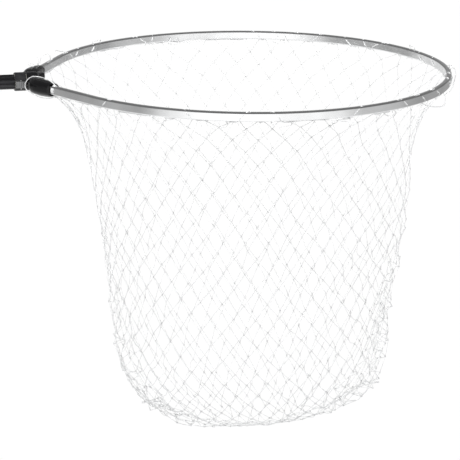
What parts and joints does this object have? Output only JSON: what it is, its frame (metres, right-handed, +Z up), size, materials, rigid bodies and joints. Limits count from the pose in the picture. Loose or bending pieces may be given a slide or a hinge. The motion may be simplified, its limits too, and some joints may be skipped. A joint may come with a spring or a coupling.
{
  "type": "landing net",
  "caption": "Round-hoop landing net: clear knotted mesh bag laced under a flat-oval aluminium hoop, black yoke, and a fluted handle that slides through the yoke's latched collar.",
  "frame": {"origin": "on the handle's axis, in the middle of the grip", "axes": "+X along the handle towards the hoop, +Z up out of the hoop's mouth, so the bag hangs along -Z; the latch faces -Y"},
  "size_m": [1.1258, 0.5072, 0.4895],
  "materials": {
    "hoop_aluminium": "satin",
    "handle_aluminium": "satin",
    "yoke_plastic": "gloss",
    "collar_plastic": "satin",
    "bush_plastic": "satin",
    "latch_steel": "satin",
    "steel": "satin",
    "netting": "satin",
    "grip_foam": "matte",
    "cap_rubber": "matte"
  },
  "bodies": {
    "handle": {"handle_tube": "handle_aluminium", "handle_front_stop": "collar_plastic", "handle_grip": "grip_foam", "butt_cap": "cap_rubber"},
    "head": {"hoop_tube": "hoop_aluminium", "front_tube_plug": "bush_plastic", "back_tube_plug": "bush_plastic", "yoke_body": "yoke_plastic", "front_arm_screw": "steel", "back_arm_screw": "steel", "latch_collar": "collar_plastic", "collar_bush": "bush_plastic", "latch_pivot_pin": "steel", "latch_spring": "steel", "net_lacing": "netting", "net_bag": "netting", "bottom_tie": "netting"},
    "latch": {"latch_lever": "latch_steel"}
  },
  "joints": [
    {"name": "head_slide", "type": "slide", "parent": "handle", "child": "head", "axis": [-1, 0, 0], "range_m": [0, 0.39]},
    {"name": "latch_rock", "type": "hinge", "parent": "head", "child": "latch", "pos_m": [0.4915, -0.0119, -0.0015], "axis": [0, 0, 1], "range_deg": [0, 8], "stiffness_Nm_per_rad": 0.2, "springref_deg": -5.73}
  ]
}
